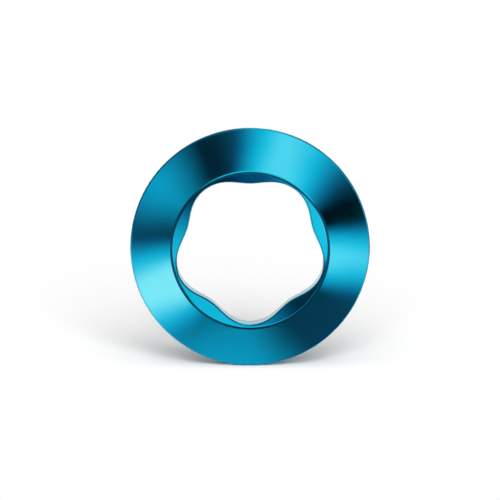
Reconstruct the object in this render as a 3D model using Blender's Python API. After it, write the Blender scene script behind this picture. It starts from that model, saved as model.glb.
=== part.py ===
# Lobed coupling ring: a turned cone ring with a countersunk mouth and a five-lobed bore.
# The ring stands on its rim: its axis lies along Y, its nose faces -Y and +Z is up.
# The origin is on the axis, halfway through the ring's thickness.

import math

import bmesh
import bpy

# Driving dimensions, in millimetres and degrees
OUTER_DIAMETER = 40.0
RIM_HEIGHT = 0.9            # from the flat back to the corner where the rim meets the cone
FRONT_EDGE_BREAK = 0.25     # chamfer along the rim's front corner
BACK_EDGE_BREAK = 0.2       # chamfer along the rim's back corner
CONE_ANGLE = 120.0          # included angle of the front cone
LIP_FILLET = 0.4            # radius of the rounded lip between the cone and the countersink
COUNTERSINK_ANGLE = 100.0   # included angle of the mouth
MOUTH_MARGIN = 0.49         # countersink left between the lip and the tips of the lobes
BORE_DIAMETER = 23.52       # mean diameter of the lobed bore
LOBE_RISE = 0.78            # swing of the bore's wall to either side of its mean radius
LOBE_FLATTENING = 0.05      # makes the lobes broader and the bumps between them narrower
LOBE_COUNT = 5
BORE_EDGE_FILLET = 0.7      # radius of the wavy edge where the mouth runs into the bore
BORE_BACK_BREAK = 0.2       # chamfer where the bore leaves the flat back

# Fineness of the mesh
STEPS_PER_LOBE = 36
LIP_STEPS = 6
BORE_EDGE_STEPS = 4

# Anodised finish
DYE_COLOUR = (0.003, 0.30, 0.47, 1.0)
ROUGHNESS = 0.08
SMOOTH_ANGLE = math.radians(25.0)
METRES_PER_MM = 0.001

# Sizes that follow from the driving dimensions
outer_radius = OUTER_DIAMETER / 2
bore_radius = BORE_DIAMETER / 2
lip_radius = bore_radius + LOBE_RISE + MOUTH_MARGIN
cone_slope = math.radians(90.0 - CONE_ANGLE / 2)
mouth_slope = math.radians(90.0 - COUNTERSINK_ANGLE / 2)
lip_height = RIM_HEIGHT + (outer_radius - lip_radius) * math.tan(cone_slope)

# The shortest stretch of countersink lies at the lobes' tips, and both roundings share it
shortest_mouth = MOUTH_MARGIN / math.cos(mouth_slope)
lip_turn = cone_slope + mouth_slope
lip_tangent = min(LIP_FILLET * math.tan(lip_turn / 2), shortest_mouth / 2)
lip_fillet = lip_tangent / math.tan(lip_turn / 2)
edge_turn = math.pi / 2 - mouth_slope
edge_tangent = min(BORE_EDGE_FILLET * math.tan(edge_turn / 2), shortest_mouth / 2)
edge_fillet = edge_tangent / math.tan(edge_turn / 2)
front_break = min(FRONT_EDGE_BREAK, RIM_HEIGHT / 2)
back_break = min(BACK_EDGE_BREAK, RIM_HEIGHT / 3)


def clear_scene():
    for item in list(bpy.data.objects):
        bpy.data.objects.remove(item, do_unlink=True)


def bore_wall_radius(angle):
    # A lobe points straight down, so the wave starts a quarter turn along
    phase = LOBE_COUNT * angle + math.pi / 2
    return bore_radius + LOBE_RISE * math.cos(phase) - LOBE_FLATTENING * math.cos(2 * phase)


def arc(start, start_normal, radius, turn, steps):
    # Points along a rounding that leaves start, where the surface's normal leans outwards
    # by start_normal, and turns towards the axis
    centre_radius = start[0] - radius * math.sin(start_normal)
    centre_height = start[1] - radius * math.cos(start_normal)
    points = []
    for step in range(steps + 1):
        lean = start_normal - turn * step / steps
        points.append((centre_radius + radius * math.sin(lean), centre_height + radius * math.cos(lean)))
    return points


def rim_points():
    cone_start_radius = outer_radius - front_break * math.cos(cone_slope)
    cone_start_height = RIM_HEIGHT + front_break * math.sin(cone_slope)
    return [
        (outer_radius - back_break, 0.0),
        (outer_radius, back_break),
        (outer_radius, RIM_HEIGHT - front_break),
        (cone_start_radius, cone_start_height),
    ]


def lip_points():
    cone_end = (
        lip_radius + lip_tangent * math.cos(cone_slope),
        lip_height - lip_tangent * math.sin(cone_slope),
    )
    return arc(cone_end, cone_slope, lip_fillet, lip_turn, LIP_STEPS)


def bore_points(angle):
    wall = bore_wall_radius(angle)
    edge_height = lip_height - (lip_radius - wall) * math.tan(mouth_slope)
    mouth_end = (
        wall + edge_tangent * math.cos(mouth_slope),
        edge_height + edge_tangent * math.sin(mouth_slope),
    )
    points = arc(mouth_end, -mouth_slope, edge_fillet, edge_turn, BORE_EDGE_STEPS)
    points.append((wall, BORE_BACK_BREAK))
    points.append((wall + BORE_BACK_BREAK, 0.0))
    return points


def section(angle):
    # Outline of the ring in the half plane at this angle: distance from the axis, and
    # height above the flat back
    return rim_points() + lip_points() + bore_points(angle)


def ring_mesh(name):
    thickness = max(height for _, height in lip_points())
    step_count = LOBE_COUNT * STEPS_PER_LOBE
    body = bmesh.new()
    loops = []
    for step in range(step_count):
        angle = 2 * math.pi * step / step_count
        loop = []
        for radius, height in section(angle):
            x = radius * math.cos(angle) * METRES_PER_MM
            y = (thickness / 2 - height) * METRES_PER_MM
            z = radius * math.sin(angle) * METRES_PER_MM
            loop.append(body.verts.new((x, y, z)))
        loops.append(loop)
    for step, loop in enumerate(loops):
        following = loops[(step + 1) % step_count]
        for index, corner in enumerate(loop):
            next_index = (index + 1) % len(loop)
            body.faces.new((corner, loop[next_index], following[next_index], following[index]))
    bmesh.ops.recalc_face_normals(body, faces=body.faces)
    mesh = bpy.data.meshes.new(name)
    body.to_mesh(mesh)
    body.free()
    mesh.shade_smooth()
    mesh.set_sharp_from_angle(angle=SMOOTH_ANGLE)
    return mesh


def anodised_aluminium():
    material = bpy.data.materials.new("blue_anodised_aluminium")
    material.use_nodes = True
    shader = material.node_tree.nodes["Principled BSDF"]
    shader.inputs["Base Color"].default_value = DYE_COLOUR
    shader.inputs["Metallic"].default_value = 1.0
    shader.inputs["Roughness"].default_value = ROUGHNESS
    return material


def build_coupling_ring():
    mesh = ring_mesh("coupling_ring")
    mesh.materials.append(anodised_aluminium())
    ring = bpy.data.objects.new("coupling_ring", mesh)
    bpy.context.scene.collection.objects.link(ring)
    return ring


clear_scene()
build_coupling_ring()
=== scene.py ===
import math

import bpy
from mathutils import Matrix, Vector


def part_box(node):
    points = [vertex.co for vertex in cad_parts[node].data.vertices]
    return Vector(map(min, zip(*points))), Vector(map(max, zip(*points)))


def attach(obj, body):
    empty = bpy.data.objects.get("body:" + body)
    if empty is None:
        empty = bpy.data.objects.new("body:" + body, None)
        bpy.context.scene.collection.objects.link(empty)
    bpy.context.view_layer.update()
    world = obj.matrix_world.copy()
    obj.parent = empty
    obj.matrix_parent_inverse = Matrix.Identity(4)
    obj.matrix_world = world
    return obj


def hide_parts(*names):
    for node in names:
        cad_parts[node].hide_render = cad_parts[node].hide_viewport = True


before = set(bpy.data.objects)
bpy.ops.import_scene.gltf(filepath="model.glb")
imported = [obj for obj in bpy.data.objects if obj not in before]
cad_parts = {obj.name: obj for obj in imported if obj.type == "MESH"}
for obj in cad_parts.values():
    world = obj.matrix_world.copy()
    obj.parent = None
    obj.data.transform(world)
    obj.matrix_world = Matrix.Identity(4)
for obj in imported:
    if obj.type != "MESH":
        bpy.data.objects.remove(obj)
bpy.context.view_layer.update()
scene = bpy.context.scene
scene.view_settings.view_transform = "Standard"
mm = 0.001
print("frame loaded")


def hexColour(code):  # sRGB hex to the linear colour that nodes take
    parts = [int(code[i:i + 2], 16) / 255 for i in (1, 3, 5)]
    return tuple(c / 12.92 if c <= 0.04045 else ((c + 0.055) / 1.055) ** 2.4 for c in parts) + (1.0,)


def addNode(tree, kind, inputs=(), **settings):  # inputs pairs a socket with a value or another socket
    node = tree.nodes.new(kind)
    for name, value in settings.items():
        setattr(node, name, value)
    for socket, value in dict(inputs).items():
        if isinstance(value, bpy.types.NodeSocket):
            tree.links.new(value, node.inputs[socket])
        else:
            node.inputs[socket].default_value = value
    return node


# The camera looks along the ring's axis from a little above it
camera = {
    "elevation": 7.7,           # degrees above the axis
    "distance": 500 * mm,
    "frameWidth": 83.22 * mm,   # width of the picture at the ring
    "ringAbove": 0.226 * mm,    # how far the ring's centre sits above the picture's centre
    "ringRight": 0.014 * mm,
    "clipStart": 10 * mm,
    "clipEnd": 20.0,
}


def buildCamera():
    tilt = math.radians(camera["elevation"])
    back = Vector((0, -math.cos(tilt), math.sin(tilt)))
    up = Vector((0, math.sin(tilt), math.cos(tilt)))
    aim = -camera["ringAbove"] * up - Vector((camera["ringRight"], 0, 0))
    data = bpy.data.cameras.new("camera")
    data.lens = data.sensor_width * camera["distance"] / camera["frameWidth"]
    data.clip_start = camera["clipStart"]
    data.clip_end = camera["clipEnd"]
    eye = bpy.data.objects.new("camera", data)
    eye.location = aim + back * camera["distance"]
    eye.rotation_euler = (-back).to_track_quat("-Z", "Y").to_euler()
    scene.collection.objects.link(eye)
    scene.camera = eye
    return back


towardsCamera = buildCamera()
print("camera set")

# Aluminium, diamond-turned, bright-dipped and anodised, with blue dye sealed into the oxide.
# The eye gets a deep, clean blue mirror, faint rings from the tool, and paler dye on the corners.
anodising = {
    "dye": "#2292B8",
    "deepDye": "#208EB3",
    "thinDye": "#46A6C6",       # on corners, where the oxide is thinner
    "lowAngleTint": "#F8FCF2",  # the dye still tints light that skims the surface
    "roughness": 0.11,
    "roughnessSwing": 0.15,     # share by which the tool rings change it
    "toolRingPitch": 0.12,      # mm; the real feed is near 0.05, too fine to show in the picture
    "toolRingDepth": 0.0004,    # mm
    "dyeCloud": 9.0,            # mm across a patch of slightly deeper dye
    "cloudRange": (0.35, 0.65),  # the part of the noise that carries the change of dye
    "toolRange": (0.3, 0.7),    # the part of the noise that carries the change of roughness
}


def anodisedAluminium():
    material = bpy.data.materials.new("blue anodised turned aluminium")
    material.use_nodes = True
    tree = material.node_tree
    shader = tree.nodes["Principled BSDF"]
    shader.inputs["Metallic"].default_value = 1.0
    shader.inputs["Specular Tint"].default_value = hexColour(anodising["lowAngleTint"])
    place = addNode(tree, "ShaderNodeTexCoord").outputs["Object"]
    axes = addNode(tree, "ShaderNodeSeparateXYZ", {0: place}).outputs
    across = addNode(tree, "ShaderNodeCombineXYZ", {"X": axes["X"], "Z": axes["Z"]}).outputs[0]
    radius = addNode(tree, "ShaderNodeVectorMath", {0: across}, operation="LENGTH").outputs["Value"]
    turned = addNode(tree, "ShaderNodeCombineXYZ", {"X": radius, "Y": axes["Y"]}).outputs[0]
    rings = addNode(tree, "ShaderNodeTexNoise", {
        "Vector": turned, "Scale": 1 / (anodising["toolRingPitch"] * mm), "Detail": 1.0}).outputs[0]
    cloud = addNode(tree, "ShaderNodeTexNoise", {
        "Vector": place, "Scale": 1 / (anodising["dyeCloud"] * mm), "Detail": 2.0}).outputs[0]
    cloudLow, cloudHigh = anodising["cloudRange"]
    patch = addNode(tree, "ShaderNodeMapRange", {
        "Value": cloud, "From Min": cloudLow, "From Max": cloudHigh}).outputs[0]
    dyed = addNode(tree, "ShaderNodeMix", {
        0: patch, 6: hexColour(anodising["deepDye"]), 7: hexColour(anodising["dye"])},
        data_type="RGBA").outputs[2]
    corner = addNode(tree, "ShaderNodeAttribute", attribute_name="corner").outputs["Fac"]
    colour = addNode(tree, "ShaderNodeMix", {
        0: corner, 6: dyed, 7: hexColour(anodising["thinDye"])}, data_type="RGBA").outputs[2]
    toolLow, toolHigh = anodising["toolRange"]
    smoothest = anodising["roughness"] * (1 - anodising["roughnessSwing"])
    roughest = anodising["roughness"] * (1 + anodising["roughnessSwing"])
    roughness = addNode(tree, "ShaderNodeMapRange", {
        "Value": rings, "From Min": toolLow, "From Max": toolHigh,
        "To Min": smoothest, "To Max": roughest}).outputs[0]
    bump = addNode(tree, "ShaderNodeBump", {
        "Height": rings, "Strength": 1.0, "Distance": anodising["toolRingDepth"] * mm}).outputs[0]
    tree.links.new(colour, shader.inputs["Base Color"])
    tree.links.new(roughness, shader.inputs["Roughness"])
    tree.links.new(bump, shader.inputs["Normal"])
    return material


# The ring: one outline, turned round the axis, with the bore's wall swinging in and out five times
ringLow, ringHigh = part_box("coupling_ring")
ring = {
    "rimHeight": 0.9,           # mm, flat back to the corner between rim and cone
    "frontBreak": 0.25,
    "backBreak": 0.2,
    "coneAngle": 120.0,         # degrees
    "lipFillet": 0.45,
    "mouthAngle": 100.0,        # degrees
    "mouthMargin": 0.49,
    "boreDiameter": 23.52,
    "lobeRise": 0.78,
    "lobeFlattening": 0.05,
    "lobes": 5,
    "boreFillet": 0.7,
    "boreBackBreak": 0.2,
    # How far the dye is worn off each corner, 0 to 1
    "wear": {"back": 1.0, "front": 0.6, "lip": 0.2, "boreEdge": 0.3, "boreBack": 1.0},
    "stepsRound": 900,
    "cornerSteps": 8,
    "support": 0.02,            # mm, extra rows that keep the long faces true next to a rounded corner
    "mostSupport": 0.2,         # share of a short stretch that such a row may take
    "straightRows": (0.25, 0.5, 0.75),
    "weld": 0.0005,             # mm, closes the seam where the grid meets itself
}


def arcPoints(start, lean, radius, turn, steps):  # lean is the normal's angle away from the nose
    centre = (start[0] - radius * math.sin(lean), start[1] - radius * math.cos(lean))
    leans = [lean - turn * k / steps for k in range(steps + 1)]
    return [(centre[0] + radius * math.sin(a), centre[1] + radius * math.cos(a)) for a in leans]


def straightShares(length):  # places of the extra rows along a straight stretch
    near = min(ring["support"] / length, ring["mostSupport"])
    return [near, *ring["straightRows"], 1 - near]


def ringOutline():  # rows of radius, height, share of the swing, share of the slope, corner
    outerRadius = (ringHigh.x - ringLow.x) / 2 / mm
    boreRadius = ring["boreDiameter"] / 2
    square = math.pi / 2
    lipRadius = boreRadius + ring["lobeRise"] + ring["mouthMargin"]
    coneSlope = math.radians(90 - ring["coneAngle"] / 2)
    mouthSlope = math.radians(90 - ring["mouthAngle"] / 2)
    lipHeight = ring["rimHeight"] + (outerRadius - lipRadius) * math.tan(coneSlope)
    lipTurn = coneSlope + mouthSlope
    lipTangent = ring["lipFillet"] * math.tan(lipTurn / 2)
    edgeTurn = square - mouthSlope
    edgeTangent = ring["boreFillet"] * math.tan(edgeTurn / 2)
    edgeHeight = lipHeight - (lipRadius - boreRadius) * math.tan(mouthSlope)
    frontTurn = square - coneSlope
    frontRadius = ring["frontBreak"] / math.tan(frontTurn / 2)
    steps = ring["cornerSteps"]
    back = ring["backBreak"]
    boreBack = ring["boreBackBreak"]
    wear = ring["wear"]
    rimTop = (outerRadius, ring["rimHeight"] - ring["frontBreak"])
    lipStart = (lipRadius + lipTangent * math.cos(coneSlope), lipHeight - lipTangent * math.sin(coneSlope))
    edgeStart = (boreRadius + edgeTangent * math.cos(mouthSlope),
                 edgeHeight + edgeTangent * math.sin(mouthSlope))
    corners = [  # points, share of the swing, share of the slope, how worn the corner is
        (arcPoints((outerRadius - back, 0), math.pi, back, square, steps), 0, 0, wear["back"]),
        (arcPoints(rimTop, square, frontRadius, frontTurn, steps), 0, 0, wear["front"]),
        (arcPoints(lipStart, coneSlope, ring["lipFillet"], lipTurn, 2 * steps), 0, 0, wear["lip"]),
        (arcPoints(edgeStart, -mouthSlope, ring["boreFillet"], edgeTurn, steps), 1, 1, wear["boreEdge"]),
        (arcPoints((boreRadius, boreBack), -square, boreBack, square, steps), 1, 0, wear["boreBack"]),
    ]
    rows = []
    for k, (points, swing, slope, worn) in enumerate(corners):
        last = len(points) - 1
        for i, point in enumerate(points):
            rows.append((*point, swing, slope, worn * math.sin(math.pi * i / last)))
        following = corners[(k + 1) % len(corners)]
        start = (*points[-1], swing, slope)
        end = (*following[0][0], following[1], following[2])
        for share in straightShares(math.dist(start[:2], end[:2])):
            rows.append((*[a + (b - a) * share for a, b in zip(start, end)], 0.0))
    thickness = max(row[1] for row in rows)
    return rows + rows[:1], thickness, math.tan(mouthSlope)


def ringTree():  # a grid whose rows follow the outline and whose columns go round the axis
    tree = bpy.data.node_groups.new("turned lobed ring", "GeometryNodeTree")
    sockets = {
        "Outline": "NodeSocketGeometry", "Steps Round": "NodeSocketInt", "Outline Rows": "NodeSocketInt",
        "Lobes": "NodeSocketInt", "Lobe Rise": "NodeSocketFloat", "Lobe Flattening": "NodeSocketFloat",
        "Mouth Slope": "NodeSocketFloat", "Half Thickness": "NodeSocketFloat",
        "Finish": "NodeSocketMaterial",
    }
    for name, kind in sockets.items():
        tree.interface.new_socket(name, in_out="INPUT", socket_type=kind)
    tree.interface.new_socket("Ring", in_out="OUTPUT", socket_type="NodeSocketGeometry")
    given = addNode(tree, "NodeGroupInput").outputs
    number = "ShaderNodeMath"
    columns = addNode(tree, number, {0: given["Steps Round"], 1: 1.0}, operation="ADD").outputs[0]
    grid = addNode(tree, "GeometryNodeMeshGrid", {
        "Vertices X": columns, "Vertices Y": given["Outline Rows"]}).outputs["Mesh"]
    index = addNode(tree, "GeometryNodeInputIndex").outputs[0]
    middle = addNode(tree, number, {0: index, 1: 0.5}, operation="ADD").outputs[0]  # so that floor is exact
    turns = addNode(tree, number, {0: middle, 1: given["Outline Rows"]}, operation="DIVIDE").outputs[0]
    column = addNode(tree, number, {0: turns}, operation="FLOOR").outputs[0]
    first = addNode(tree, number, {0: column, 1: given["Outline Rows"]}, operation="MULTIPLY").outputs[0]
    row = addNode(tree, number, {0: index, 1: first}, operation="SUBTRACT").outputs[0]
    part = addNode(tree, number, {0: column, 1: given["Steps Round"]}, operation="DIVIDE").outputs[0]
    angle = addNode(tree, number, {0: part, 1: 2 * math.pi}, operation="MULTIPLY").outputs[0]
    point = addNode(tree, "GeometryNodeInputPosition").outputs[0]
    share = addNode(tree, "GeometryNodeInputNamedAttribute", {
        "Name": "share"}, data_type="FLOAT_VECTOR").outputs[0]
    pointHere = addNode(tree, "GeometryNodeSampleIndex", {
        "Geometry": given["Outline"], "Value": point, "Index": row}, data_type="FLOAT_VECTOR").outputs[0]
    shareHere = addNode(tree, "GeometryNodeSampleIndex", {
        "Geometry": given["Outline"], "Value": share, "Index": row}, data_type="FLOAT_VECTOR").outputs[0]
    place = addNode(tree, "ShaderNodeSeparateXYZ", {0: pointHere}).outputs
    shares = addNode(tree, "ShaderNodeSeparateXYZ", {0: shareHere}).outputs
    # One lobe points straight down, so the wave runs a quarter turn ahead of the angle
    waves = addNode(tree, number, {0: angle, 1: given["Lobes"]}, operation="MULTIPLY").outputs[0]
    phase = addNode(tree, number, {0: waves, 1: math.pi / 2}, operation="ADD").outputs[0]
    double = addNode(tree, number, {0: phase, 1: 2.0}, operation="MULTIPLY").outputs[0]
    lobe = addNode(tree, number, {0: phase}, operation="COSINE").outputs[0]
    ripple = addNode(tree, number, {0: double}, operation="COSINE").outputs[0]
    rise = addNode(tree, number, {0: lobe, 1: given["Lobe Rise"]}, operation="MULTIPLY").outputs[0]
    flat = addNode(tree, number, {0: ripple, 1: given["Lobe Flattening"]}, operation="MULTIPLY").outputs[0]
    swing = addNode(tree, number, {0: rise, 1: flat}, operation="SUBTRACT").outputs[0]
    outwards = addNode(tree, number, {0: swing, 1: shares["X"]}, operation="MULTIPLY").outputs[0]
    radius = addNode(tree, number, {0: place["X"], 1: outwards}, operation="ADD").outputs[0]
    slope = addNode(tree, number, {
        0: given["Mouth Slope"], 1: shares["Y"]}, operation="MULTIPLY").outputs[0]
    climb = addNode(tree, number, {0: swing, 1: slope}, operation="MULTIPLY").outputs[0]
    height = addNode(tree, number, {0: place["Y"], 1: climb}, operation="ADD").outputs[0]
    depth = addNode(tree, number, {0: given["Half Thickness"], 1: height}, operation="SUBTRACT").outputs[0]
    section = addNode(tree, "ShaderNodeCombineXYZ", {"X": radius, "Y": depth}).outputs[0]
    spot = addNode(tree, "ShaderNodeVectorRotate", {
        "Vector": section, "Axis": (0, -1, 0), "Angle": angle}).outputs[0]
    placed = addNode(tree, "GeometryNodeSetPosition", {"Geometry": grid, "Position": spot}).outputs[0]
    marked = addNode(tree, "GeometryNodeStoreNamedAttribute", {
        "Geometry": placed, "Name": "corner", "Value": shares["Z"]},
        data_type="FLOAT", domain="POINT").outputs[0]
    closed = addNode(tree, "GeometryNodeMergeByDistance", {
        "Geometry": marked, "Distance": ring["weld"] * mm}).outputs[0]
    smooth = addNode(tree, "GeometryNodeSetShadeSmooth", {"Geometry": closed}).outputs[0]
    real = addNode(tree, "GeometryNodeRealizeInstances", {"Geometry": smooth}).outputs[0]
    finished = addNode(tree, "GeometryNodeSetMaterial", {
        "Geometry": real, "Material": given["Finish"]}).outputs[0]
    addNode(tree, "NodeGroupOutput", {"Ring": finished})
    return tree


def buildRing(finish):
    rows, thickness, mouthSlope = ringOutline()
    outline = bpy.data.meshes.new("ring outline")
    points = [(row[0] * mm, row[1] * mm, 0) for row in rows]
    outline.from_pydata(points, [(k, k + 1) for k in range(len(rows) - 1)], [])
    share = outline.attributes.new("share", "FLOAT_VECTOR", "POINT")
    for item, row in zip(share.data, rows):
        item.vector = row[2:]
    maker = bpy.data.objects.new("ring outline", outline)
    scene.collection.objects.link(maker)
    tree = ringTree()
    modifier = maker.modifiers.new("turned lobed ring", "NODES")
    modifier.node_group = tree
    values = {
        "Steps Round": ring["stepsRound"], "Outline Rows": len(rows), "Lobes": ring["lobes"],
        "Lobe Rise": ring["lobeRise"] * mm, "Lobe Flattening": ring["lobeFlattening"] * mm,
        "Mouth Slope": mouthSlope, "Half Thickness": thickness / 2 * mm, "Finish": finish,
    }
    for item in tree.interface.items_tree:
        if item.name in values:
            modifier[item.identifier] = values[item.name]
    ready = maker.evaluated_get(bpy.context.evaluated_depsgraph_get())
    mesh = bpy.data.meshes.new_from_object(ready)
    mesh.name = "anodised_ring"
    bpy.data.objects.remove(maker)
    piece = bpy.data.objects.new("anodised_ring", mesh)
    scene.collection.objects.link(piece)
    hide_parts("coupling_ring")
    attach(piece, "root")
    return piece


ringPiece = buildRing(anodisedAluminium())
print("ring turned:", len(ringPiece.data.polygons), "faces")

# Studio: a white room, a pale floor, a low soft key light from the front and a soft top light
studio = {
    "roomLight": 0.04,      # level of the room's own light on the floor
    "floor": "#FAFAFA",
    "floorGlow": 0.02,      # added to the paper as it is seen, so that it reads white
    "floorSize": 6.0,
}
white = (1, 1, 1, 1)
lamps = {  # level on the floor, elevation, degrees to the right of the camera, degrees across
    "keyLight": {"level": 0.57, "elevation": 24.0, "azimuth": 4.0, "softness": 37.0},
    "topLight": {"level": 0.43, "elevation": 65.0, "azimuth": 0.0, "softness": 60.0},
}


def seenDirectly(tree):  # 1 for what the camera, the metal or glass sees, 0 for light on its way
    path = addNode(tree, "ShaderNodeLightPath").outputs
    direct = addNode(tree, "ShaderNodeMath", {
        0: path["Is Camera Ray"], 1: path["Is Glossy Ray"]}, operation="ADD").outputs[0]
    return addNode(tree, "ShaderNodeMath", {
        0: direct, 1: path["Is Transmission Ray"]}, operation="ADD", use_clamp=True).outputs[0]


def buildRoom():
    world = bpy.data.worlds.new("white room")
    scene.world = world
    world.use_nodes = True
    tree = world.node_tree
    tree.nodes.clear()
    seen = seenDirectly(tree)
    light = addNode(tree, "ShaderNodeBackground", {
        "Color": white, "Strength": studio["roomLight"]}).outputs[0]
    wall = addNode(tree, "ShaderNodeBackground", {"Color": white, "Strength": 1.0}).outputs[0]
    mixed = addNode(tree, "ShaderNodeMixShader", {0: seen, 1: light, 2: wall}).outputs[0]
    addNode(tree, "ShaderNodeOutputWorld", {"Surface": mixed})


def buildLamp(name, lamp):
    data = bpy.data.lights.new(name, "SUN")
    data.angle = math.radians(lamp["softness"])
    tilt = math.radians(lamp["elevation"])
    turn = math.radians(lamp["azimuth"])
    data.energy = lamp["level"] * math.pi / math.sin(tilt)
    towards = Vector((math.sin(turn) * math.cos(tilt), -math.cos(turn) * math.cos(tilt), math.sin(tilt)))
    piece = bpy.data.objects.new(name, data)
    piece.rotation_euler = (-towards).to_track_quat("-Z", "Y").to_euler()
    piece.visible_glossy = False
    scene.collection.objects.link(piece)


def paperMaterial():
    material = bpy.data.materials.new("white paper sweep")
    material.use_nodes = True
    tree = material.node_tree
    tree.nodes.clear()
    paper = addNode(tree, "ShaderNodeBsdfDiffuse", {"Color": hexColour(studio["floor"])}).outputs[0]
    seen = seenDirectly(tree)
    lift = addNode(tree, "ShaderNodeMath", {
        0: seen, 1: studio["floorGlow"]}, operation="MULTIPLY").outputs[0]
    glow = addNode(tree, "ShaderNodeEmission", {"Color": white, "Strength": lift}).outputs[0]
    both = addNode(tree, "ShaderNodeAddShader", {0: paper, 1: glow}).outputs[0]
    addNode(tree, "ShaderNodeOutputMaterial", {"Surface": both})
    return material


def buildFloor(name, near, far, mirrored, material):
    half = studio["floorSize"] / 2
    level = ringLow.z
    corners = [(-half, near, level), (half, near, level), (half, far, level), (-half, far, level)]
    mesh = bpy.data.meshes.new(name)
    mesh.from_pydata(corners, [], [(0, 1, 2, 3)])
    mesh.materials.append(material)
    floor = bpy.data.objects.new(name, mesh)
    floor.visible_glossy = mirrored
    scene.collection.objects.link(floor)


# Soft panels and dark flags that only the metal sees. Each is given by the angles round the ring
# and the leans of surface, both in degrees, that mirror it to the camera, and by its soft edges.
# Narrowing and gradient change its width and level across the cone, and coolEdge makes its soft
# edges bluer. Where two cards overlap, the one that is named first hides the other
cone = {"leans": (27, 36)}
panel = {**cone, "light": "#7CFFF0", "level": 1.9, "narrowing": 4.0, "coolEdge": 0.17}
heart = {**cone, "light": "#FFBDA9", "level": 4.7, "narrowing": 4.0}    # the palest middle of a panel
fill = {**cone, "light": "#7CFFFF", "level": 1.0, "narrowing": -4.0, "gradient": 0.2}
flag = {"light": "#CDE8FF"}
leaf = {"leans": (35, 43), "light": "#7CFFF0", "coolEdge": 0.2}         # for the countersunk mouth
edge = {"leans": (40, 84), "light": "#30F0FF"}                          # for the rim and the bore's edge
cards = {
    "rightHeart": {**heart, "angles": (343, 366.5), "soft": (12, 8)},
    "topHeart": {**heart, "angles": (49, 87), "soft": (18, 11)},
    "leftHeart": {**heart, "angles": (184, 222.5), "soft": (11, 14), "light": "#FF846F", "level": 13.0},
    "rightPanel": {**panel, "angles": (331, 378.5), "soft": (17, 14)},
    "topPanel": {**panel, "angles": (30, 103), "soft": (26, 20)},
    "leftPanel": {**panel, "angles": (170, 235), "soft": (17, 17)},
    "upperLeftFill": {**fill, "angles": (117, 171), "soft": (32, 30), "level": 1.02},
    "bottomFill": {**fill, "angles": (199, 302), "soft": (63, 34)},
    "blackFlag": {**cone, **flag, "angles": (10, 37), "soft": (7, 11), "level": 0.005},
    "topFlag": {**cone, **flag, "angles": (95, 132), "soft": (16, 16), "level": 0.06},
    "coneFlag": {**flag, "angles": (0, 360), "soft": (0, 0), "leans": (26, 36), "level": 0.18,
                 "gradient": 0.08},
    "frontPanel": {"angles": (35, 140), "soft": (10, 45), "leans": (11.5, 33.5), "light": "#7CFFF0",
                   "level": 1.8, "distance": 40 * mm},
    "lowFlag": {**flag, "angles": (210, 260), "soft": (8, 10), "leans": (18, 34), "level": 0.3,
                "distance": 26 * mm},
    "frontRightFlag": {**flag, "angles": (335, 400), "soft": (20, 15), "leans": (4, 27), "level": 0.36},
    "frontLeftFlag": {**flag, "angles": (140, 238), "soft": (45, 14), "leans": (4, 27), "level": 0.36},
    "frontFlag": {**flag, "angles": (0, 360), "soft": (0, 0), "leans": (0, 27), "level": 0.13},
    "leafLeftPanel": {**leaf, "angles": (165, 262), "soft": (14, 42), "level": 1.9},
    "leafRightPanel": {**leaf, "angles": (312, 493), "soft": (50, 65), "level": 1.7},
    "leafLowPanel": {**leaf, "angles": (225, 290), "soft": (20, 22), "light": "#80D8FF", "level": 0.36},
    "leafFlag": {**leaf, **flag, "angles": (0, 360), "soft": (0, 0), "level": 0.08},
    "edgeTopPanel": {**edge, "angles": (64, 98), "soft": (14, 12), "level": 1.1},
    "edgeFlag": {**edge, "angles": (0, 360), "soft": (0, 0), "level": 0.35},
}
cardMaking = {
    "distance": 120 * mm,   # from the ring's centre
    "stackStep": 0.002,     # share of the distance by which each card lies behind the one before
    "angleStep": 1.5,       # degrees for each face
    "leanStep": 0.5,
    "leanSoft": 1.0,        # degrees of soft edge along the leans
    "coneLean": 32.3,       # where the cone's mirrored lines of sight meet the cards
    "coneReach": 1.0,       # degrees to either side over which they spread
    "leastCover": 0.05,     # below it a soft edge gets no cooler
}


def mirrorDirection(angle, lean):  # where a surface of the ring sends the camera's line of sight
    normal = Vector((math.sin(lean) * math.cos(angle), -math.cos(lean), math.sin(lean) * math.sin(angle)))
    return 2 * towardsCamera.dot(normal) * normal - towardsCamera


def cardMaterial():
    material = bpy.data.materials.new("soft edged studio card")
    material.use_nodes = True
    tree = material.node_tree
    tree.nodes.clear()
    light = addNode(tree, "ShaderNodeAttribute", attribute_name="light").outputs["Color"]
    cover = addNode(tree, "ShaderNodeAttribute", attribute_name="cover").outputs["Fac"]
    glow = addNode(tree, "ShaderNodeEmission", {"Color": light, "Strength": 1.0}).outputs[0]
    gap = addNode(tree, "ShaderNodeBsdfTransparent").outputs[0]
    card = addNode(tree, "ShaderNodeMixShader", {0: cover, 1: gap, 2: glow}).outputs[0]
    addNode(tree, "ShaderNodeOutputMaterial", {"Surface": card})
    return material


def softStep(part, width):
    if width == 0:
        return 1.0
    share = min(max(part / width, 0.0), 1.0)
    return share * share * (3 - 2 * share)


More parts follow.
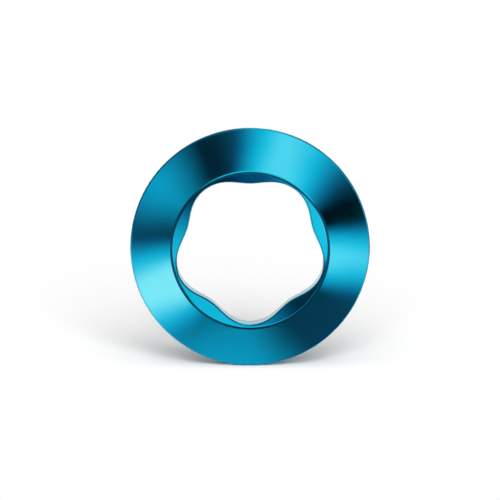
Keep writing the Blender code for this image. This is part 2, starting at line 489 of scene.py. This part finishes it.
def buildCard(name, card, order, material):
    start, end = card["angles"]
    low, high = card["leans"]
    startSoft, endSoft = card["soft"]
    leanSoft = cardMaking["leanSoft"]
    reach = cardMaking["coneReach"]
    across = int((end - start) / cardMaking["angleStep"])
    along = int((high - low) / cardMaking["leanStep"])
    distance = card.get("distance", cardMaking["distance"]) * (1 + cardMaking["stackStep"] * order)
    colour = hexColour(card["light"])
    points = []
    covers = []
    lights = []
    faces = []
    for i in range(across + 1):
        angle = start + (end - start) * i / across
        for j in range(along + 1):
            lean = low + (high - low) * j / along
            offset = min(max(lean - cardMaking["coneLean"], -reach), reach)
            pull = card.get("narrowing", 0.0) * offset
            side = softStep(angle - start - pull, startSoft) * softStep(end - angle - pull, endSoft)
            inner = softStep(lean - low, leanSoft if low > 0 else 0)
            cover = side * inner * softStep(high - lean, leanSoft)
            level = card["level"] * (1 + card.get("gradient", 0.0) * offset)
            cooler = max(cover, cardMaking["leastCover"]) ** -card.get("coolEdge", 0.0)
            points.append(mirrorDirection(math.radians(angle), math.radians(lean)) * distance)
            covers.append(cover)
            lights += [colour[0] * level, colour[1] * level, colour[2] * level * cooler, 1.0]
    for i in range(across):
        for j in range(along):
            k = i * (along + 1) + j
            faces.append((k, k + 1, k + along + 2, k + along + 1))
    mesh = bpy.data.meshes.new(name)
    mesh.from_pydata(points, [], faces)
    mesh.attributes.new("cover", "FLOAT", "POINT").data.foreach_set("value", covers)
    mesh.attributes.new("light", "FLOAT_COLOR", "POINT").data.foreach_set("color", lights)
    mesh.materials.append(material)
    piece = bpy.data.objects.new(name, mesh)
    piece.visible_camera = False
    piece.visible_diffuse = False
    piece.visible_shadow = False
    piece.visible_transmission = False
    scene.collection.objects.link(piece)


buildRoom()
paper = paperMaterial()
rimFront = ringHigh.y - ring["rimHeight"] * mm  # the lower cards lie under the paper in front of it
buildFloor("frontFloor", -studio["floorSize"] / 2, rimFront, False, paper)
buildFloor("backFloor", rimFront, studio["floorSize"] / 2, True, paper)
for lampName, lamp in lamps.items():
    buildLamp(lampName, lamp)
cardFinish = cardMaterial()
for order, (cardName, card) in enumerate(cards.items()):
    buildCard(cardName, card, order, cardFinish)
print("studio built:", len(cards), "cards")
